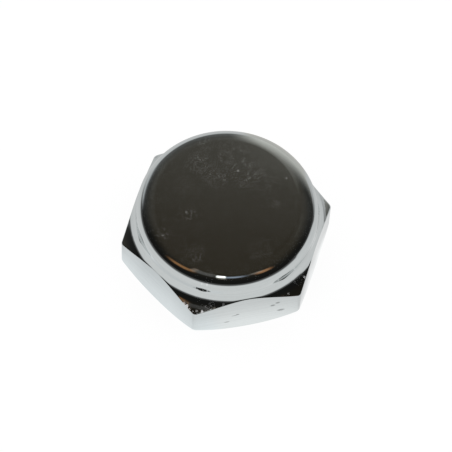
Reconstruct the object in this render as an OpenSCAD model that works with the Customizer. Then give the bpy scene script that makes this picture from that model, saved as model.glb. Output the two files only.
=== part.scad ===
// Chromed cap nut with a blind thread.
// A hexagon to grip carries a round crown, and a cove joins the two.
// Origin at the centre of the seat, +Z up through the crown, one flat facing -Y.

/* [Hexagon] */
// Width across the flats
across_flats = 30; // [28:0.5:36]
// Radius that polishing leaves on the six upright edges
upright_edge_r = 0.8; // [0.2:0.1:1]
// Height of the six upper corners, where the shoulder ends
upper_corner_h = 7; // [5:0.1:9]
// Slope of the shoulder outside the cove
shoulder_angle = 14; // [8:1:28]
// Slope of the chamfer under the hexagon
lower_chamfer_angle = 30; // [20:1:40]
// How far the edge of the seat stands in from the flats
seat_inset = 0.25; // [0.1:0.1:1]

/* [Crown] */
// How far the crown's wall stands in from the flats
crown_inset = 0.45; // [0.2:0.05:1.5]
// Radius of the cove between the shoulder and the wall
cove_r = 3.8; // [2:0.1:5]
// Height of the straight wall above the cove
wall_h = 0.5; // [0.1:0.1:4]
// Radius of the crown's top edge
top_edge_r = 3.3; // [1:0.1:5]
// Thickness of the metal over the bore
roof_t = 3.5; // [2:0.1:5]

/* [Thread] */
// Thickness of the metal between the thread and the flats
side_wall_t = 3; // [2.5:0.25:5]
// Pitch of the thread
thread_pitch = 1; // [0.75:0.25:1.5]
// Width of the relief groove where the thread runs out
relief_w = 2.2; // [1.5:0.1:3]
// Depth of the relief groove past the thread's nominal radius
relief_clearance = 0.25; // [0.1:0.05:0.5]
// Room around the thread at the mouth of the countersink
mouth_clearance = 0.35; // [0.1:0.05:0.5]

/* [Hidden] */
$fn = 180;

flat_r = across_flats / 2;
corner_r = flat_r / cos(30);
crown_r = flat_r - crown_inset;
seat_r = flat_r - seat_inset;

// Centre of the cove, whose circle touches both the wall and the shoulder
cove_x = crown_r + cove_r;
cove_h = upper_corner_h + (corner_r - cove_x) * tan(shoulder_angle) + cove_r / cos(shoulder_angle);
// Where the cove runs out into the shoulder
cove_end_x = cove_x - cove_r * sin(shoulder_angle);
cove_end_h = cove_h - cove_r * cos(shoulder_angle);

// The turned blank reaches past the corners, and the flats are cut from it
blank_margin = 1;
blank_r = max(corner_r, cove_end_x) + blank_margin;
blank_lower_h = (blank_r - seat_r) * tan(lower_chamfer_angle);
blank_upper_h = upper_corner_h - (blank_r - corner_r) * tan(shoulder_angle);

// Centre of the top edge's round, above the wall
edge_x = crown_r - top_edge_r;
edge_h = cove_h + wall_h;
height = edge_h + top_edge_r;

// Nominal diameter of the thread, and the bore that is ready for cutting it at 60 degrees
thread_d = across_flats - 2 * side_wall_t;
minor_d = thread_d - 1.0825 * thread_pitch;
bore_depth = height - roof_t;
relief_d = thread_d + 2 * relief_clearance;
mouth_d = thread_d + 2 * mouth_clearance;
mouth_h = (mouth_d - minor_d) / 2;
// How far cutters and joined shapes run past each other
overlap = 1;

// Outline of the hexagon bar, with its upright edges rounded
module hexagon_outline() {
    edge_r = upright_edge_r;
    inner_r = flat_r - edge_r;
    circle(r = inner_r / cos(30), $fn = 6);
    for (turn = [0:60:300]) rotate(turn) translate([inner_r / cos(30), 0]) circle(r = edge_r);
    for (turn = [30:60:150]) rotate(turn) square([across_flats, 2 * inner_r * tan(30)], center = true);
}

// Half section of the turned blank, from the seat to the roof
module blank_section() {
    difference() {
        polygon([
            [0, 0],
            [seat_r, 0],
            [blank_r, blank_lower_h],
            [blank_r, blank_upper_h],
            [cove_end_x, cove_end_h],
            [cove_x, cove_h],
            [crown_r, cove_h],
            [crown_r, edge_h],
            [edge_x, edge_h],
            [edge_x, height],
            [0, height]
        ]);
        translate([cove_x, cove_h]) circle(r = cove_r);
    }
    translate([edge_x, edge_h]) circle(r = top_edge_r);
}

// Blind bore with its countersunk mouth and its relief groove
module thread_bore() {
    translate([0, 0, -overlap]) cylinder(d = minor_d, h = bore_depth + overlap);
    translate([0, 0, -overlap]) cylinder(d1 = mouth_d + 2 * overlap, d2 = minor_d, h = mouth_h + overlap);
    translate([0, 0, bore_depth - relief_w]) cylinder(d = relief_d, h = relief_w);
}

module cap_nut() {
    color("gainsboro") difference() {
        intersection() {
            linear_extrude(height) hexagon_outline();
            rotate_extrude() blank_section();
        }
        thread_bore();
    }
}

cap_nut();
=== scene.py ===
# Polished cap nut: a rounded hexagon, a cove and a round crown over a blind thread

import math

import bmesh
import bpy
from bpy.props import FloatProperty, FloatVectorProperty, PointerProperty
from mathutils import Matrix, Vector


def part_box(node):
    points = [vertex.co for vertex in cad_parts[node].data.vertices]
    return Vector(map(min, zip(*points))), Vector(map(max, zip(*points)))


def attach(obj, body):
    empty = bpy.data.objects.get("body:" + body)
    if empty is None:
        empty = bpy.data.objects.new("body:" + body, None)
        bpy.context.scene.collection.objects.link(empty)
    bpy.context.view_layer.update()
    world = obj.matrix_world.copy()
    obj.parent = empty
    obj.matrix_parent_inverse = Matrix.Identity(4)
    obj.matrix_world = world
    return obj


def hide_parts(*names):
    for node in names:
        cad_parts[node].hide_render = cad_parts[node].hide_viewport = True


bl_info = {
    "name": "Polished cap nut",
    "version": (1, 0, 0),
    "blender": (4, 5, 0),
    "location": "3D View > Sidebar > Cap Nut",
    "description": "Models a polished hexagon cap nut and its studio around the packed part",
    "category": "Object",
}

MM = 0.001
NODE = "cap_nut"
PIECE = "polished_cap_nut"
# Angle round the axis from a corner of the hexagon to the middle of a flat
HALF_FLAT = math.pi / 6

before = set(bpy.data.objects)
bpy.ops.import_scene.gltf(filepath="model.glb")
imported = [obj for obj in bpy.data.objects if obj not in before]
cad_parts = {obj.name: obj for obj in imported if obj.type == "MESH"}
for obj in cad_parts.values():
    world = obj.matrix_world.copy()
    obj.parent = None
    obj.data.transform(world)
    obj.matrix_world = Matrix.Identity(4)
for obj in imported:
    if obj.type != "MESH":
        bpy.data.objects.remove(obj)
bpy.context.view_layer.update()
cad_low, cad_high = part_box(NODE)


# Sizes and looks that a user would change


class NutSizes(bpy.types.PropertyGroup):
    """Sizes of the nut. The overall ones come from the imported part"""

    across_flats: FloatProperty(
        name="Across flats", description="Width across the flats",
        default=cad_high.y - cad_low.y, unit="LENGTH")
    height: FloatProperty(
        name="Height", description="From the seat to the top",
        default=cad_high.z - cad_low.z, unit="LENGTH")
    corner_rounding: FloatProperty(
        name="Upright edges", description="Radius of the six upright edges",
        default=0.8 * MM, unit="LENGTH")
    seat_inset: FloatProperty(
        name="Seat inset", description="How far the edge of the seat stands in from the flats",
        default=0.25 * MM, unit="LENGTH")
    chamfer_slope: FloatProperty(
        name="Lower chamfer", description="Slope of the chamfer under the hexagon",
        default=math.radians(30), unit="ROTATION")
    crown_inset: FloatProperty(
        name="Crown inset", description="How far the crown's wall stands in from the flats",
        default=0.45 * MM, unit="LENGTH")
    cove_radius: FloatProperty(
        name="Cove", description="Radius of the cove between the hexagon and the crown",
        default=3.8 * MM, unit="LENGTH")
    wall_height: FloatProperty(
        name="Wall", description="Height of the straight wall above the cove",
        default=0.5 * MM, unit="LENGTH")
    top_rounding: FloatProperty(
        name="Top edge", description="Radius of the crown's top edge",
        default=3.3 * MM, unit="LENGTH")
    upper_edge: FloatProperty(
        name="Upper edge", description="Radius of the edge between a flat and the cove, at mid-flat",
        default=0.1 * MM, unit="LENGTH")
    upper_corner: FloatProperty(
        name="Upper corner", description="Radius of that edge at the corners, where it is worn most",
        default=0.32 * MM, unit="LENGTH")
    lower_edge: FloatProperty(
        name="Lower edge", description="Radius of the edge between a flat and its chamfer, at mid-flat",
        default=0.12 * MM, unit="LENGTH")
    lower_corner: FloatProperty(
        name="Lower corner", description="Radius of that edge at the corners",
        default=1.2 * MM, unit="LENGTH")
    seat_edge: FloatProperty(
        name="Seat edge", description="Radius of the edge round the seat",
        default=0.12 * MM, unit="LENGTH")
    roof: FloatProperty(
        name="Roof", description="Thickness of the metal over the bore",
        default=3.5 * MM, unit="LENGTH")
    side_wall: FloatProperty(
        name="Side wall", description="Metal between the thread and the flats",
        default=3 * MM, unit="LENGTH")
    pitch: FloatProperty(
        name="Pitch", description="Pitch of the thread",
        default=1 * MM, unit="LENGTH")
    relief_width: FloatProperty(
        name="Relief width", description="Width of the groove where the thread runs out",
        default=2.2 * MM, unit="LENGTH")
    relief_clearance: FloatProperty(
        name="Relief clearance", description="Depth of the groove past the thread",
        default=0.25 * MM, unit="LENGTH")
    mouth_clearance: FloatProperty(
        name="Mouth clearance", description="Room around the thread at its mouth",
        default=0.35 * MM, unit="LENGTH")


class ChromeLook(bpy.types.PropertyGroup):
    """Finish of the chrome"""

    colour: FloatVectorProperty(
        name="Colour", description="Colour of the chrome", subtype="COLOR", size=3, min=0, max=1,
        default=(0.656, 0.692, 0.692))
    roughness: FloatProperty(
        name="Roughness", description="Softness of what the polished faces mirror", subtype="FACTOR",
        default=0.03, min=0, max=1)
    dust: FloatProperty(
        # This also scales the painted glints at the dented tip
        name="Dust", description="Amount of pale dust on the crown", subtype="FACTOR",
        default=0.5, min=0, max=1)
    line_depth: FloatProperty(
        name="Polishing lines", description="Depth of the lines that polishing left", unit="LENGTH",
        default=0.0002 * MM)
    dent_depth: FloatProperty(
        name="Dents", description="Depth of the small dents on the worn tip", unit="LENGTH",
        default=0.06 * MM)
    # This also scales the painted shade on the tips that are painted dark
    worn_edges_and_tip_shade: FloatProperty(
        name="Worn edges", description="How strongly the shoulder's tips and edges are out of true",
        subtype="FACTOR", default=1, min=0, max=1)
    dome_radius: FloatProperty(
        name="Dome", description="Radius of the slight dome that the top mirrors with", unit="LENGTH",
        default=300 * MM)


class StudioStage(bpy.types.PropertyGroup):
    """Camera and room"""

    azimuth: FloatProperty(
        name="Camera turn", description="Turn of the camera and the studio around the nut",
        default=math.radians(-15.45), unit="ROTATION")
    elevation: FloatProperty(
        name="Camera rise", description="How far the camera looks down",
        default=math.radians(60.36), unit="ROTATION")
    roll: FloatProperty(
        name="Camera roll", description="Tilt of the camera about its own line of sight",
        default=math.radians(3.3), unit="ROTATION")
    distance: FloatProperty(
        name="Camera distance", description="From the point that the camera looks at",
        default=510 * MM, unit="LENGTH")
    lens: FloatProperty(
        name="Lens", description="Focal length in millimetres on a 36 mm sensor", default=252.35)
    aim_height: FloatProperty(
        name="Aim height", description="Height on the axis that the camera looks at",
        default=5.52 * MM, unit="LENGTH")
    aim_right: FloatProperty(
        name="Aim right", description="How far to the right of the axis the camera looks",
        default=-0.06 * MM, unit="LENGTH")
    aim_up: FloatProperty(
        name="Aim up", description="How far above that point the camera looks",
        default=0.525 * MM, unit="LENGTH")
    room_radius: FloatProperty(
        name="Room", description="Radius of the table and of the studio walls",
        default=900 * MM, unit="LENGTH")


# Drawing of half sections with the mesh operators

# Share of the pitch from the thread's nominal radius to its minor radius, at 60 degrees
THREAD_DEPTH = 0.54125
# Angle of the thread's flanks, and the width of its root as a share of the pitch
THREAD_FLANK = math.radians(30)
THREAD_ROOT = 1 / 8
# How far the ridge that cuts the thread reaches into the bore, and its steps in one turn
CUTTER_REACH = 0.1 * MM
CUTTER_STEPS = 120
# Ring of the flat top that is kept even, next to the round edge
TOP_FACE_RIM = 1 * MM
# Short edge that keeps a flat face flat up to the curve that it meets
SUPPORT = 0.04 * MM
# Steps over the top edge and the cove, over the worn edges of a flat, and over the seat's edge
ROUND_STEPS = 20
EDGE_STEPS = 5
SEAT_EDGE_STEPS = 4
# How fast the wear of a flat's upper and lower edge fades away from the corners
UPPER_WEAR_FADE = 2
LOWER_WEAR_FADE = 4
# Sections over the rounding of an upright edge, and from there to mid-flat
CORNER_STEPS = 5
FLAT_STEPS = 16
# Faces that meet at less than this angle are shaded as one surface
SMOOTH_ANGLE = math.radians(28)
# Points that lie closer than this are one point
WELD = 0.001 * MM


def deselect_objects():
    bpy.ops.object.select_all(action="DESELECT")


class SectionPen:
    """Draws one upright half section of the nut from the axis outwards, as an open chain of edges"""

    def __init__(self, azimuth, radius, height):
        self.out = Vector((math.cos(azimuth), math.sin(azimuth), 0))
        self.turn_axis = Vector((-math.sin(azimuth), math.cos(azimuth), 0))
        self.place = Vector((radius, height))
        bpy.ops.mesh.select_all(action="DESELECT")
        bpy.ops.mesh.primitive_plane_add(size=MM, location=self.point(self.place))
        bpy.ops.mesh.merge(type="CENTER")

    def point(self, place):
        return self.out * place.x + Vector((0, 0, place.y))

    def line_to(self, radius, height, support=0.0):
        """A straight edge, with a short edge at each end where it meets a curve"""
        start = self.place.copy()
        end = Vector((radius, height))
        stops = [end]
        if support:
            along = (end - start).normalized() * support
            stops = [start + along, end - along, end]
        for stop in stops:
            bpy.ops.mesh.extrude_region_move(
                TRANSFORM_OT_translate={"value": self.point(stop) - self.point(self.place)})
            self.place = stop

    def arc_about(self, centre, angle, steps):
        """An arc round a centre, counted positive from outwards to upwards"""
        bpy.ops.mesh.spin(steps=steps, angle=angle, center=self.point(centre), axis=self.turn_axis)
        arm = self.place - centre
        self.place = centre + Matrix.Rotation(angle, 2) @ arm


def draw_half_section(sizes, azimuth, flat_radius):
    """The nut's section at one azimuth, where the hexagon reaches out to flat_radius"""
    flats = sizes.across_flats / 2
    crown = flats - sizes.crown_inset
    slope = sizes.chamfer_slope
    corner_share = 1 - azimuth / HALF_FLAT
    upper_wear = (sizes.upper_corner - sizes.upper_edge) * corner_share ** UPPER_WEAR_FADE
    lower_wear = (sizes.lower_corner - sizes.lower_edge) * corner_share ** LOWER_WEAR_FADE
    upper_edge = sizes.upper_edge + upper_wear
    lower_edge = sizes.lower_edge + lower_wear
    top = Vector((crown - sizes.top_rounding, sizes.height - sizes.top_rounding))
    cove = Vector((crown + sizes.cove_radius, top.y - sizes.wall_height))
    seat = flats - sizes.seat_inset

    # Round between the flat and the cove, which touches both
    upper = Vector((flat_radius - upper_edge, 0))
    upper.y = cove.y - math.sqrt((sizes.cove_radius + upper_edge) ** 2 - (cove.x - upper.x) ** 2)
    upper_turn = math.atan2(cove.y - upper.y, cove.x - upper.x)

    # Round between the flat and the lower chamfer
    lower = Vector((flat_radius - lower_edge, 0))
    lower.y = (lower_edge + (lower.x - seat) * math.sin(slope)) / math.cos(slope)

    # Round between the lower chamfer and the seat
    foot = Vector((seat - sizes.seat_edge * math.tan(slope / 2), sizes.seat_edge))
    chamfer_end = foot + sizes.seat_edge * Vector((math.sin(slope), -math.cos(slope)))

    pen = SectionPen(azimuth, 0, sizes.height)
    pen.line_to(top.x - TOP_FACE_RIM, sizes.height)
    pen.line_to(top.x, sizes.height, SUPPORT)
    pen.arc_about(top, -math.pi / 2, ROUND_STEPS)
    pen.line_to(crown, cove.y, SUPPORT)
    pen.arc_about(cove, upper_turn, ROUND_STEPS)
    pen.arc_about(upper, -upper_turn, EDGE_STEPS)
    pen.line_to(flat_radius, lower.y, SUPPORT)
    pen.arc_about(lower, slope - math.pi / 2, EDGE_STEPS)
    pen.line_to(chamfer_end.x, chamfer_end.y, SUPPORT)
    pen.arc_about(foot, -slope, SEAT_EDGE_STEPS)
    draw_bore(pen, sizes)


def draw_bore(pen, sizes):
    """The bore's half of the section: seat, countersunk mouth, wall, relief groove and roof"""
    thread = sizes.across_flats / 2 - sizes.side_wall
    minor = thread - THREAD_DEPTH * sizes.pitch
    mouth = thread + sizes.mouth_clearance
    relief = thread + sizes.relief_clearance
    bore_end = sizes.height - sizes.roof
    groove_start = bore_end - sizes.relief_width
    pen.line_to(mouth, 0, SUPPORT)
    pen.line_to(minor, mouth - minor)
    pen.line_to(minor, groove_start)
    pen.line_to(relief, groove_start)
    pen.line_to(relief, bore_end)
    pen.line_to(0, bore_end)


def section_places(sizes):
    """Azimuth from a corner and reach of the hexagon, for each section from the corner to mid-flat"""
    flats = sizes.across_flats / 2
    rounding = sizes.corner_rounding
    centre = (flats - rounding) / math.cos(HALF_FLAT)
    places = []
    for step in range(CORNER_STEPS + 1):
        turn = HALF_FLAT * step / CORNER_STEPS
        on_edge = Vector((centre + rounding * math.cos(turn), rounding * math.sin(turn)))
        places.append((math.atan2(on_edge.y, on_edge.x), on_edge.length))
    tangent = places[-1][0]
    azimuths = [tangent + SUPPORT / flats]
    for step in range(1, FLAT_STEPS + 1):
        azimuths.append(tangent + (HALF_FLAT - tangent) * step / FLAT_STEPS)
    for azimuth in azimuths:
        places.append((azimuth, flats / math.cos(HALF_FLAT - azimuth)))
    return places


def bridge_sections(piece, count):
    """Joins each section to the next one with a strip of faces"""
    length = len(bmesh.from_edit_mesh(piece.data).verts) // count
    for first in range(count - 1):
        bpy.ops.mesh.select_all(action="DESELECT")
        mesh = bmesh.from_edit_mesh(piece.data)
        mesh.verts.ensure_lookup_table()
        for vert in mesh.verts[first * length:(first + 2) * length]:
            vert.select_set(True)
        mesh.select_flush(True)
        bmesh.update_edit_mesh(piece.data)
        bpy.ops.mesh.bridge_edge_loops()


def model_nut_blank(sizes):
    """The nut with a plain bore: half a corner is drawn, mirrored and copied round the axis"""
    deselect_objects()
    # This plane only gives the piece its object
    bpy.ops.mesh.primitive_plane_add(size=MM)
    piece = bpy.context.object
    piece.name = PIECE
    bpy.ops.object.mode_set(mode="EDIT")
    bpy.ops.mesh.delete(type="VERT")
    places = section_places(sizes)
    for azimuth, flat_radius in places:
        draw_half_section(sizes, azimuth, flat_radius)
    bridge_sections(piece, len(places))
    bpy.ops.mesh.select_all(action="SELECT")
    bpy.ops.mesh.symmetrize(direction="POSITIVE_Y", threshold=WELD)
    bpy.ops.mesh.select_all(action="SELECT")
    for _ in range(5):
        bpy.ops.mesh.duplicate()
        bpy.ops.transform.rotate(
            value=2 * HALF_FLAT, orient_axis="Z", orient_type="GLOBAL", center_override=(0, 0, 0))
    bpy.ops.mesh.select_all(action="SELECT")
    bpy.ops.mesh.remove_doubles(threshold=WELD)
    bpy.ops.mesh.normals_make_consistent(inside=False)
    bpy.ops.object.mode_set(mode="OBJECT")
    return piece


def model_thread_cutter(sizes):
    """A closed ridge of the thread's form, which climbs from below the mouth into the relief groove"""
    thread = sizes.across_flats / 2 - sizes.side_wall
    minor = thread - THREAD_DEPTH * sizes.pitch
    inner = minor - CUTTER_REACH
    root_half = THREAD_ROOT * sizes.pitch / 2
    inner_half = root_half + (thread - inner) * math.tan(THREAD_FLANK)
    start = -sizes.pitch / 2
    end = sizes.height - sizes.roof - sizes.relief_width / 2
    turns = math.floor((end - start) / sizes.pitch)

    deselect_objects()
    bpy.ops.mesh.primitive_plane_add(size=1, rotation=(math.pi / 2, 0, 0))
    cutter = bpy.context.object
    bpy.ops.object.transform_apply(location=False, rotation=True, scale=False)
    for vert in cutter.data.vertices:
        outer = vert.co.x > 0
        half = root_half if outer else inner_half
        vert.co = Vector((thread if outer else inner, 0, start + math.copysign(half, vert.co.z)))
    ridge = cutter.modifiers.new("Thread", "SCREW")
    ridge.axis = "Z"
    ridge.screw_offset = sizes.pitch
    ridge.iterations = turns
    ridge.steps = CUTTER_STEPS
    ridge.render_steps = CUTTER_STEPS
    ridge.use_smooth_shade = False
    bpy.ops.object.modifier_apply(modifier=ridge.name)
    bpy.ops.object.mode_set(mode="EDIT")
    bpy.ops.mesh.select_all(action="SELECT")
    bpy.ops.mesh.remove_doubles(threshold=WELD)
    bpy.ops.mesh.select_all(action="DESELECT")
    bpy.ops.mesh.select_mode(type="EDGE")
    bpy.ops.mesh.select_non_manifold()
    bpy.ops.mesh.fill_holes(sides=0)
    bpy.ops.mesh.select_all(action="SELECT")
    bpy.ops.mesh.normals_make_consistent(inside=False)
    bpy.ops.object.mode_set(mode="OBJECT")
    return cutter


def cut_thread(piece, cutter):
    """Cuts the thread into the bore and throws the cutter away"""
    deselect_objects()
    bpy.context.view_layer.objects.active = piece
    piece.select_set(True)
    cut = piece.modifiers.new("Thread", "BOOLEAN")
    cut.operation = "DIFFERENCE"
    cut.solver = "EXACT"
    cut.object = cutter
    bpy.ops.object.modifier_apply(modifier=cut.name)
    bpy.data.objects.remove(cutter)
    bpy.ops.object.shade_smooth_by_angle(angle=SMOOTH_ANGLE)


# Shader maths


class Wire:
    """A shader socket that adds its Math nodes when it is used in a Python expression"""

    def __init__(self, tree, socket=None):
        self.tree = tree
        self.socket = socket

    def add(self, kind, settings, inputs, output=0):
        """Adds any node: its settings first, then the values or the wires of its sockets"""
        node = self.tree.nodes.new(kind)
        for name, value in settings.items():
            setattr(node, name, value)
        for key, value in inputs.items():
            if isinstance(value, Wire):
                self.tree.links.new(value.socket, node.inputs[key])
            else:
                node.inputs[key].default_value = value
        return Wire(self.tree, node.outputs[output])

    def math(self, operation, *values):
        return self.add("ShaderNodeMath", {"operation": operation}, dict(enumerate(values)))

    def __add__(self, other):
        return self.math("ADD", self, other)

    def __radd__(self, other):
        return self.math("ADD", other, self)

    def __sub__(self, other):
        return self.math("SUBTRACT", self, other)

    def __rsub__(self, other):
        return self.math("SUBTRACT", other, self)

    def __mul__(self, other):
        return self.math("MULTIPLY", self, other)

    def __rmul__(self, other):
        return self.math("MULTIPLY", other, self)

    def __truediv__(self, other):
        return self.math("DIVIDE", self, other)

    def __pow__(self, other):
        return self.math("POWER", self, other)

    def rise(self, start, end):
        """0 at start and before it, 1 at end and past it, with soft ends; start may be the larger one"""
        return self.add(
            "ShaderNodeMapRange", {"interpolation_type": "SMOOTHSTEP"},
            {"Value": self, "From Min": start, "From Max": end})

    def hill(self, centre, flat, soft):
        """1 as far as flat from the centre, and 0 from flat + soft on"""
        return self.math("ABSOLUTE", self - centre).rise(flat + soft, flat)

    def clamped(self):
        """This value, held between 0 and 1"""
        return self.add("ShaderNodeClamp", {}, {"Value": self})

    def parts(self):
        """The three coordinates of a vector"""
        split = self.add("ShaderNodeSeparateXYZ", {}, {0: self}).socket.node
        return [Wire(self.tree, output) for output in split.outputs]

    def lit(self, mask, colour):
        """This colour with more light of another colour where the mask is"""
        return self.add(
            "ShaderNodeVectorMath", {"operation": "MULTIPLY_ADD"}, {0: mask, 1: colour, 2: self})

    def dimmed(self, light):
        """This colour under more or less light"""
        return self.add("ShaderNodeVectorMath", {"operation": "MULTIPLY"}, {0: self, 1: light})

    def choose(self, without, within):
        """One colour where this mask is 0 and the other where it is 1"""
        return self.add(
            "ShaderNodeMix", {"data_type": "RGBA", "clamp_factor": True},
            {0: self, 6: without, 7: within}, 2)

    def noise(self, scale, detail, roughness=0.5):
        """Even noise on this vector, around 0.5"""
        return self.add(
            "ShaderNodeTexNoise", {},
            {"Vector": self, "Scale": scale, "Detail": detail, "Roughness": roughness})

    def mapped(self, **inputs):
        """This vector after a Mapping node"""
        return self.add("ShaderNodeMapping", {}, {"Vector": self, **inputs})


def empty_material(name):
    """A material with nothing but its output, and the wire that its nodes start from"""
    material = bpy.data.materials.new(name)
    material.use_nodes = True
    material.node_tree.nodes.clear()
    return material, Wire(material.node_tree)


def finish_material(shader):
    output = shader.tree.nodes.new("ShaderNodeOutputMaterial")
    shader.tree.links.new(shader.socket, output.inputs["Surface"])


# Polished chrome

# Streaks run round the nut: long along the faces, and this many to the metre across
STREAK_SCALE = (90, 90, 3600)
# How fine the noise is in each of these, in cells to the metre
CLOUD_SCALE = 1400
GRAIN_SCALE = 4200
MOTTLING_SCALE = 1100
PATCH_EDGE_SCALE = 700
FRONT_MARK_EDGE_SCALE = 3000
DENT_SCALE = 2200
# How much the mottling and the grains show, in a patch of dust and on the whole crown
PATCH_MOTTLING = 0.12
PATCH_GRAINS = 1.25
CROWN_MOTTLING = 0.14
CROWN_GRAINS = 0.18
DUST_COLOUR = (0.97, 0.98, 1.0, 1)
# Shares of the chrome's colour in the polishing lines, in the stains and painted dent shade, and on the
# tips painted dark as painted shade
LINE_TONE = 0.9
STAIN_AND_DENT_SHADE_TONE = 0.3
PAINTED_DARK_TIP_TONE = 0.4
# Patches of dust: place, radius and thickness, in millimetres but for the last
DUST_PATCHES = (
    (2.6, 8.0, 3.6, 0.7),
    (4.2, 4.8, 4.0, 0.9),
    (7.0, 2.0, 2.6, 0.4),
    (-2.9, 7.8, 2.6, 0.8),
    (-1.6, 10.6, 2.0, 0.4),
    (-0.9, 4.8, 2.6, 0.8),
    (-6.0, 4.0, 2.4, 0.2),
    (7.2, -2.0, 1.3, 0.9),
    (-6.4, -1.1, 1.6, 0.7),
    (-11.3, -3.8, 1.5, 0.9),
    (-6.9, -8.2, 2.2, 0.8),
    (3.0, -9.8, 2.6, 0.5),
    (-6.4, -13.9, 1.8, 0.9),
    (9.0, -12.4, 1.6, 0.5),
)
# Single specks of dust, and painted glints: place and radius in millimetres, and brightness. The
# brightest ones along the dented tip's left edge are painted glints that stand in for light caught by
# its burrs
DUST_SPECKS_AND_GLINTS = (
    (2.8, 5.2, 0.28, 2.0),
    (10.1, 2.3, 0.26, 1.8),
    (-6.9, -0.6, 0.22, 2.2),
    (-11.4, -3.9, 0.20, 2.4),
    (9.9, -12.3, 0.26, 9.0),
    (8.1, -13.1, 0.14, 2.4),
    (6.8, -14.6, 0.24, 3.0),
    (-3.9, -14.8, 0.20, 3.0),
    (-5.8, -14.5, 0.18, 2.4),
    # Painted glints along the dented tip's edge
    (-9.8, -12.9, 0.24, 9.0),
    (-9.5, -13.4, 0.36, 18.0),
    (-9.1, -13.9, 0.20, 6.0),
    (-8.7, -14.4, 0.16, 7.0),
    (-8.1, -14.5, 0.24, 6.0),
    (-7.3, -14.8, 0.26, 14.0),
    (-6.6, -14.3, 0.20, 2.4),
    (-6.2, -12.9, 0.16, 2.4),
    (-7.0, -12.6, 0.18, 2.4),
)
# Stains, and dents whose dark look is painted shade, on the flat under the crown's front: place, half
# length and half height in millimetres
FRONT_MARKS = (
    (-1.5, 4.5, 0.42, 0.24),
    (-2.0, 4.3, 0.60, 0.14),
    (-3.2, 2.6, 0.60, 0.18),
    (4.2, 5.4, 0.55, 0.36),
    (5.0, 6.0, 0.50, 0.34),
    (5.6, 3.4, 0.80, 0.42),
)
# Dented tip beside it: place and radius in millimetres
DENTED_TIP = (-8.6, -14.2, 2.2)
# Shoulder tips that aren't true: direction of the tip, and how far it leans outwards, in degrees
LEANING_TIPS = ((0, 13), (120, 11))
# Radii and cosines from its direction at which a leaning tip begins and is full
LEANING_TIP_RADII = (15.3 * MM, 17 * MM)
LEANING_TIP_COSINES = (0.96, 0.98)
# Shoulder tips painted dark as painted shade: their directions, and where the painted shade begins and
# is full
PAINTED_DARK_TIPS = (240, 300)
PAINTED_DARK_TIP_REACH = (15.2 * MM, 16.6 * MM)
# Lip of the shoulder over the middle of each flat: distance from the axis where it begins and is full,
# radii where it has run out and is full, and how far it leans inwards, in radians
LIP_REACH = (14.78 * MM, 14.95 * MM)
LIP_RADII = (15.6 * MM, 15.3 * MM)
LIP_LEAN = 0.12
# Ring round the flat top in which the dome runs out
DOME_FADE = 2 * MM
# Keeps a distance from being nothing where it divides
HAIR = 0.001 * MM


def hexagon_reach(across, away, turn):
    """Distance from the nut's axis, counted square to the nearest flat, in a view turned by an angle"""
    facings = [math.radians(facing) + turn for facing in (30, 90, 150)]
    return most_of([
        across.math("ABSOLUTE", across * math.cos(facing) + away * math.sin(facing))
        for facing in facings])


def reach_towards(x, y, turn):
    """Distance from the nut's axis, counted along a direction in degrees"""
    return x * math.cos(math.radians(turn)) + y * math.sin(math.radians(turn))


def spot(across, along, half_length, half_height):
    """1 in the middle of an oval, 0 from its rim on; the two distances are wires from its middle"""
    return ((across / half_length) ** 2 + (along / half_height) ** 2).rise(1, 0)


def round_spots(x, y, spots):
    """Round spots, each given by its place and radius in millimetres and its strength"""
    return most_of([
        spot(x - mid_x * MM, y - mid_y * MM, radius * MM, radius * MM) * strength
        for mid_x, mid_y, radius, strength in spots])


def most_of(masks):
    """The largest of several masks"""
    most = masks[0]
    for mask in masks[1:]:
        most = most.math("MAXIMUM", most, mask)
    return most


def surface_normal(place):
    return place.add("ShaderNodeNewGeometry", {}, {}, "Normal")


def faces_up(place, start, full):
    """0 up to one upward share of the surface's normal, 1 from another one on"""
    return surface_normal(place).parts()[2].rise(start, full)


def dust_and_glints_on(place, sizes):
    """How thick the dust lies on what faces up: fine grains in loose patches, and a few bright specks,
    of which those at the dented tip are painted glints
    """
    x, y, up = place.parts()
    grains = place.noise(GRAIN_SCALE, 1, 0.6).rise(0.44, 0.70)
    mottling = place.noise(MOTTLING_SCALE, 3, 0.7).rise(0.40, 0.70)
    ragged = round_spots(x, y, DUST_PATCHES) * place.noise(PATCH_EDGE_SCALE, 2, 0.6).rise(0.28, 0.58)
    crown = up.rise(sizes.height - 1.6 * MM, sizes.height - 0.3 * MM)
    dust = ragged * (PATCH_MOTTLING * mottling + PATCH_GRAINS * grains)
    dust = dust + crown * (CROWN_MOTTLING * mottling + CROWN_GRAINS * grains)
    dust = dust + round_spots(x, y, DUST_SPECKS_AND_GLINTS)
    return dust * faces_up(place, 0.2, 0.5)


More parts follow.
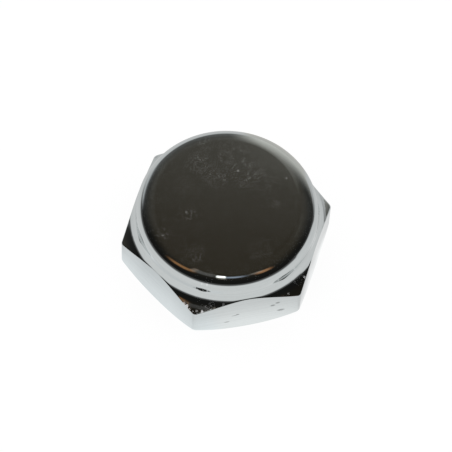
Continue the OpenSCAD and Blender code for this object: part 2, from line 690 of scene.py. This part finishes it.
def leaning_normal(place, sizes, look):
    """The surface's normal, leaned where the top is domed and where the tips and the lip aren't true"""
    x, y, _ = place.parts()
    radius = (x * x + y * y) ** 0.5 + HAIR
    top_radius = sizes.across_flats / 2 - sizes.crown_inset - sizes.top_rounding
    dome = radius * radius.rise(top_radius + DOME_FADE, top_radius) / look.dome_radius
    tips = 0
    for turn, angle in LEANING_TIPS:
        towards = reach_towards(x, y, turn) / radius
        tips = tips + towards.rise(*LEANING_TIP_COSINES) * math.radians(angle)
    tips = tips * radius.rise(*LEANING_TIP_RADII) * faces_up(place, 0.4, 0.6)
    lip = hexagon_reach(x, y, 0).rise(*LIP_REACH) * radius.rise(*LIP_RADII)
    lean = (dome + look.worn_edges_and_tip_shade * (tips - LIP_LEAN * lip)) / radius
    outwards = place.add("ShaderNodeCombineXYZ", {}, {0: x * lean, 1: y * lean})
    leaned = place.add(
        "ShaderNodeVectorMath", {"operation": "ADD"}, {0: surface_normal(place), 1: outwards})
    return place.add("ShaderNodeVectorMath", {"operation": "NORMALIZE"}, {0: leaned})


def front_stains_and_dent_shade(place, sizes):
    """Stains, and the painted shade of dents, on the flat under the crown's front, with ragged edges"""
    x, y, up = place.parts()
    front = sizes.across_flats / 2
    stains = most_of([
        spot(x - middle * MM, up - height * MM, half_length * MM, half_height * MM)
        for middle, height, half_length, half_height in FRONT_MARKS])
    on_front = y.rise(0.2 * MM - front, 0.05 * MM - front)
    return stains * on_front * place.noise(FRONT_MARK_EDGE_SCALE, 2, 0.6).rise(0.26, 0.46)


def tip_dents(place, sizes):
    """Height of the small dents at the edge of the dented tip, around 0"""
    x, y, up = place.parts()
    flats = sizes.across_flats / 2
    mid_x, mid_y, radius = (length * MM for length in DENTED_TIP)
    edge = hexagon_reach(x, y, 0).rise(flats - 0.7 * MM, flats - 0.2 * MM)
    tip = spot(x - mid_x, y - mid_y, radius, radius) * up.rise(6.2 * MM, 6.7 * MM) * edge
    return (place.noise(DENT_SCALE, 2, 0.7) - 0.5) * tip


def painted_dark_tips(place):
    """The shoulder tips that are painted dark, as painted shade"""
    x, y, _ = place.parts()
    tips = most_of([reach_towards(x, y, turn).rise(*PAINTED_DARK_TIP_REACH) for turn in PAINTED_DARK_TIPS])
    return tips * faces_up(place, 0.3, 0.7)


def toned(colour, share):
    """A share of a colour, as a colour socket takes it"""
    return (*[part * share for part in colour], 1)


def polished_chrome(look, sizes):
    """Mirror-bright chrome with fine polishing lines, small dents and a little pale dust, with painted
    glints at one tip, painted shade on two other tips, and stains with painted dent shade
    """
    material, start = empty_material("Polished chrome")
    place = start.add("ShaderNodeTexCoord", {}, {}, "Object")
    sides = place.parts()[2].rise(sizes.height - 0.3 * MM, sizes.height - 1.5 * MM)
    # The dust also carries the painted glints at the dented tip
    dust = dust_and_glints_on(place, sizes) * look.dust

    # Fine lines that run round the nut, and clouds between them
    streaks = place.mapped(Scale=STREAK_SCALE).noise(1.0, 3.0, 0.6)
    lines = streaks.rise(0.42, 0.68) * sides
    clouds = place.noise(CLOUD_SCALE, 3, 0.7).rise(0.45, 0.75) * sides

    colour = (lines * 0.5 + clouds * 0.3).choose(toned(look.colour, 1), toned(look.colour, LINE_TONE))
    # Stains, with the dents' dark look painted in as shade
    colour = (front_stains_and_dent_shade(place, sizes) * 0.75).choose(colour, toned(look.colour, STAIN_AND_DENT_SHADE_TONE))
    # Painted shade: two tips are darkened in the chrome's colour
    colour = (painted_dark_tips(place) * look.worn_edges_and_tip_shade).choose(colour, toned(look.colour, PAINTED_DARK_TIP_TONE))
    # Dust, and the painted glints at the dented tip, whiten the colour
    colour = (dust * 0.8).clamped().choose(colour, DUST_COLOUR)

    height = streaks * look.line_depth * sides + tip_dents(place, sizes) * look.dent_depth
    normal = leaning_normal(place, sizes, look)
    bump = start.add(
        "ShaderNodeBump", {},
        {"Strength": 1.0, "Distance": 1.0, "Height": height, "Normal": normal})
    finish_material(start.add(
        "ShaderNodeBsdfPrincipled", {},
        {
            "Base Color": colour,
            "Metallic": 1 - dust * 0.08,
            "Roughness": look.roughness + dust * 0.02,
            "Normal": bump,
        }))
    return material


# Studio

# Light that the table returns by itself, which carries the nut's shadow, and the paint that returns it
TABLE_SHARE = 0.06
TABLE_PAINT = (0.072, 0.072, 0.072, 1)
# Light of the table inside its pool, as the nut mirrors it, and how much of it is lost towards the back
TABLE_LIGHT = 0.69
BACK_LOSS = 0.10
# Tints of the painted light that the nut mirrors from the table, close to the left of the nut and under
# the pale panel
COOL_LIGHT_TINT = (0.976, 1.003, 1.021, 1)
PANEL_LIGHT_TINT = (1.03, 1.0, 0.94, 1)

# Studio walls by direction from the nut, in degrees round it from the right and up from the table.
# Bare walls, at 15 degrees up and below, and at 60 and above
WALL_LOW = (0.011, 0.011, 0.010, 1)
WALL_HIGH = (0.038, 0.032, 0.023, 1)
# Light that fades upwards: middle, half width and soft edge round the nut, where it has faded out and
# where it is full, and colour
WALL_GLOWS = (
    ((90, 50, 50), (68, 50), (0.022, 0.022, 0.021)),
    ((86, 6, 16), (66, 54), (0.018, 0.018, 0.017)),
    ((118, 24, 22), (7, -6), (0.446, 0.46, 0.474)),
    ((118, 24, 22), (32, -4), (0.078, 0.08, 0.082)),
    ((141, 5, 14), (16, 2), (0.31, 0.32, 0.33)),
    ((0, 12, 14), (8, -8), (0.10, 0.10, 0.10)),
)
# Lamps and lit patches: middle, half width and soft edge round the nut and then upwards, how much they
# climb for each degree round it, and colour
WALL_LAMPS = (
    ((108, 10, 28), (26, 10, 20), 0, (0.034, 0.032, 0.029)),
    ((-93, 3.5, 3), (41.5, 3.5, 3), 0, (2.2, 2.2, 2.1)),
    ((-92, 2, 5), (32, 1, 3), 0, (0.30, 0.27, 0.23)),
    ((-80, 3, 18), (40, 2, 4), 0, (0.28, 0.33, 0.41)),
    ((-112, 8, 8), (43, 5, 6), 0, (0.07, 0.07, 0.07)),
    ((-125, 1.5, 3), (43, 7, 6), 0, (0.12, 0.09, 0.07)),
    ((-137, 4, 16), (29.05, 2, 8), 0.35, (0.29, 0.14, 0.055)),
    ((-45.5, 2, 11), (36.075, 3, 5.5), -0.15, (0.36, 0.175, 0.08)),
    ((-53, 3, 9), (42, 2, 4), 0, (0.12, 0.11, 0.10)),
)
# Pale panel at the back right: colour at its bottom, how far up it has faded out, and how late it fades
PANEL_COLOUR = (0.61, 0.60, 0.56)
PANEL_TOP = 58.3
PANEL_FADE = 1.6


def table_level(distance, foot, behind, beside):
    """Light of the table inside its pool, where foot is a distance that follows the nut's outline"""
    near = distance.rise(26 * MM, 21 * MM)
    right = beside.rise(0.65, 0.85)
    front_left = beside.rise(-0.15, -0.4) * behind.rise(-0.25, -0.5)
    right_back = right * behind.rise(-0.2, 0.05)
    right_front = right * behind.rise(0, -0.2)

    # A bright ring lies round the foot, and is narrower at the right
    ring = foot.rise(19.5 * MM - 3.5 * MM * right, 15 * MM)
    level = TABLE_LIGHT - TABLE_SHARE - BACK_LOSS * behind + (0.29 + 0.025 * beside) * ring

    # Beside the ring the table's light is uneven: the nut's painted shadow at the front left, the front
    # right and behind, more light at the back right, and a little more on the far left and right
    level = level - 0.08 * front_left * distance.rise(24 * MM, 19 * MM)
    level = level + 0.12 * right_back * distance.rise(21 * MM, 19 * MM)
    level = level - 0.07 * right_front * near
    level = level - 0.08 * behind.rise(0, 0.4) * near
    level = level + 0.01 * right + 0.02 * beside.rise(-0.7, -0.95)
    return level


def pool_of_light(distance, behind, beside):
    """The part of the table that is lit: a round pool, longer to the right, and all that lies behind"""
    pool = distance.rise(106 * MM + 216 * MM * beside.rise(0.95, 0.99), 51 * MM)
    far_left = distance.rise(100 * MM, 900 * MM) * beside.rise(0.1, -0.1)
    return pool.math("MAXIMUM", pool, behind.rise(0.35, 0.8) * (1 - 0.35 * far_left))


def floor_material(floor, stage):
    """A white table: the camera sees it plain white, and the nut sees the pool of light around it"""
    material, start = empty_material("White table")
    place = start.add("ShaderNodeTexCoord", {}, {}, "Object")
    path = start.add("ShaderNodeLightPath", {}, {}).socket.node
    seen = Wire(start.tree, path.outputs["Is Camera Ray"])
    mirrored = Wire(start.tree, path.outputs["Is Glossy Ray"])
    through = Wire(start.tree, path.outputs["Is Transmission Ray"])

    across, away, _ = place.parts()
    distance = (across * across + away * away) ** 0.5 + HAIR
    behind = away / distance
    beside = across / distance
    hexagon = hexagon_reach(across, away, -stage.azimuth)
    foot = hexagon + 0.3 * (distance - hexagon)

    under_panel = beside.hill(0.38, 0.24, 0.08) * behind.rise(0.3, 0.6)
    beside_panel = beside.hill(0.68, 0.06, 0.10) * behind.rise(0.3, 0.6)
    shown = table_level(distance, foot, behind, beside) * (1 - 0.13 * under_panel - 0.04 * beside_panel)
    shown = shown * pool_of_light(distance, behind, beside) + 0.04 * distance.rise(300 * MM, 90 * MM)

    cool = distance.rise(24 * MM, 18 * MM) * beside.rise(0.1, -0.1)
    colour = (cool * mirrored).choose((1, 1, 1, 1), COOL_LIGHT_TINT)
    colour = (under_panel * mirrored).choose(colour, PANEL_LIGHT_TINT)
    light = (seen + through) * (1 - TABLE_SHARE) + mirrored * shown
    glow = start.add("ShaderNodeEmission", {}, {"Color": colour.dimmed(light), "Strength": 1.0})
    paint = start.add("ShaderNodeBsdfDiffuse", {}, {"Color": TABLE_PAINT})
    finish_material(start.add("ShaderNodeAddShader", {}, {0: glow, 1: paint}))
    floor.data.materials.append(material)


def pale_panel(around, up):
    """The pale panel: its right edge leans and softens downwards, and its light fades upwards"""
    right_edge = ((around - 46 - 0.48 * up) / (20 - 0.2 * up)).rise(-1, 1)
    left_edge = around.rise(92, 78)
    fade = 1 - (up / PANEL_TOP).clamped() ** PANEL_FADE
    return right_edge * left_edge * fade


def tent_material(tent):
    """The dark studio with its lit panels, painted by the direction from the nut, in degrees"""
    material, start = empty_material("Studio walls")
    place = start.add("ShaderNodeTexCoord", {}, {}, "Object")
    direction = place.add("ShaderNodeVectorMath", {"operation": "NORMALIZE"}, {0: place})
    across, away, height = direction.parts()
    around = height.math("DEGREES", height.math("ARCTAN2", away, across))
    up = height.math("DEGREES", height.math("ARCSINE", height))

    light = up.rise(15, 60).choose(WALL_LOW, WALL_HIGH)
    for side, fading, colour in WALL_GLOWS:
        light = light.lit(around.hill(*side) * up.rise(*fading), colour)
    light = light.lit(pale_panel(around, up), PANEL_COLOUR)
    for side, level, climb, colour in WALL_LAMPS:
        tilted = up - climb * (around - side[0]) if climb else up
        light = light.lit(around.hill(*side) * tilted.hill(*level), colour)
    finish_material(start.add("ShaderNodeEmission", {}, {"Color": light, "Strength": 1.0}))
    material.cycles.emission_sampling = "NONE"
    tent.data.materials.append(material)


def add_floor(stage):
    """The round table top that the nut stands on"""
    deselect_objects()
    bpy.ops.mesh.primitive_circle_add(vertices=96, radius=stage.room_radius, fill_type="NGON")
    floor = bpy.context.object
    floor.name = "table"
    floor.rotation_euler.z = stage.azimuth
    floor_material(floor, stage)


def add_tent(stage):
    """The dome around the nut that only reflections see"""
    deselect_objects()
    bpy.ops.mesh.primitive_uv_sphere_add(segments=64, ring_count=32, radius=stage.room_radius)
    tent = bpy.context.object
    tent.name = "studio_walls"
    tent.rotation_euler.z = stage.azimuth
    tent_material(tent)
    tent.visible_camera = False
    tent.visible_diffuse = False
    tent.visible_shadow = False
    tent.visible_transmission = False


def add_world():
    """White all round, which lights the dust and the table"""
    world = bpy.data.worlds.new("White room")
    bpy.context.scene.world = world
    world.use_nodes = True
    world.node_tree.nodes.clear()
    start = Wire(world.node_tree)
    white = start.add("ShaderNodeBackground", {}, {"Color": (1, 1, 1, 1), "Strength": 1.0})
    output = world.node_tree.nodes.new("ShaderNodeOutputWorld")
    world.node_tree.links.new(white.socket, output.inputs["Surface"])


def add_camera(stage):
    """A long lens that looks down on the nut from its front left"""
    back = Vector((
        math.sin(stage.azimuth) * math.cos(stage.elevation),
        -math.cos(stage.azimuth) * math.cos(stage.elevation),
        math.sin(stage.elevation)))
    level = Vector((math.cos(stage.azimuth), math.sin(stage.azimuth), 0))
    over = back.cross(level)
    right = level * math.cos(stage.roll) + over * math.sin(stage.roll)
    up = over * math.cos(stage.roll) - level * math.sin(stage.roll)
    aim = Vector((0, 0, stage.aim_height)) + right * stage.aim_right + up * stage.aim_up
    eye = aim + back * stage.distance
    bpy.ops.object.camera_add()
    camera = bpy.context.object
    camera.matrix_world = Matrix((
        (right.x, up.x, back.x, eye.x),
        (right.y, up.y, back.y, eye.y),
        (right.z, up.z, back.z, eye.z),
        (0, 0, 0, 1)))
    camera.data.sensor_width = 36
    camera.data.lens = stage.lens
    camera.data.clip_start = 0.01
    camera.data.clip_end = 10
    bpy.context.scene.camera = camera


# Operators, panel and registration


class CAP_NUT_OT_add_nut(bpy.types.Operator):
    """Model the cap nut with its thread, in polished chrome"""

    bl_idname = "cap_nut.add_nut"
    bl_label = "Add Cap Nut"

    def execute(self, context):
        sizes = context.scene.nut_sizes
        piece = model_nut_blank(sizes)
        cut_thread(piece, model_thread_cutter(sizes))
        piece.data.materials.clear()
        piece.data.materials.append(polished_chrome(context.scene.chrome_look, sizes))
        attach(piece, "root")
        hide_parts(NODE)
        return {"FINISHED"}


class CAP_NUT_OT_add_studio(bpy.types.Operator):
    """Set up the white table, the studio walls, the world and the camera"""

    bl_idname = "cap_nut.add_studio"
    bl_label = "Add Studio"

    def execute(self, context):
        stage = context.scene.nut_stage
        add_floor(stage)
        add_tent(stage)
        add_world()
        add_camera(stage)
        context.scene.view_settings.view_transform = "Standard"
        return {"FINISHED"}


class CAP_NUT_PT_sidebar(bpy.types.Panel):
    """Lists the steps and the values of the cap nut"""

    bl_label = "Polished Cap Nut"
    bl_space_type = "VIEW_3D"
    bl_region_type = "UI"
    bl_category = "Cap Nut"

    def draw(self, context):
        scene = context.scene
        for group in (scene.nut_sizes, scene.chrome_look, scene.nut_stage):
            box = self.layout.box()
            for name in group.bl_rna.properties.keys():
                if name not in ("rna_type", "name"):
                    box.prop(group, name)
        for step in STEPS:
            self.layout.operator(step.bl_idname)


STEPS = (CAP_NUT_OT_add_nut, CAP_NUT_OT_add_studio)
CLASSES = (NutSizes, ChromeLook, StudioStage, *STEPS, CAP_NUT_PT_sidebar)


def register():
    for each in CLASSES:
        bpy.utils.register_class(each)
    bpy.types.Scene.nut_sizes = PointerProperty(type=NutSizes)
    bpy.types.Scene.chrome_look = PointerProperty(type=ChromeLook)
    bpy.types.Scene.nut_stage = PointerProperty(type=StudioStage)


def unregister():
    del bpy.types.Scene.nut_stage
    del bpy.types.Scene.chrome_look
    del bpy.types.Scene.nut_sizes
    for each in reversed(CLASSES):
        bpy.utils.unregister_class(each)


def main():
    register()
    bpy.ops.cap_nut.add_nut()
    bpy.ops.cap_nut.add_studio()


if __name__ == "__main__":
    main()
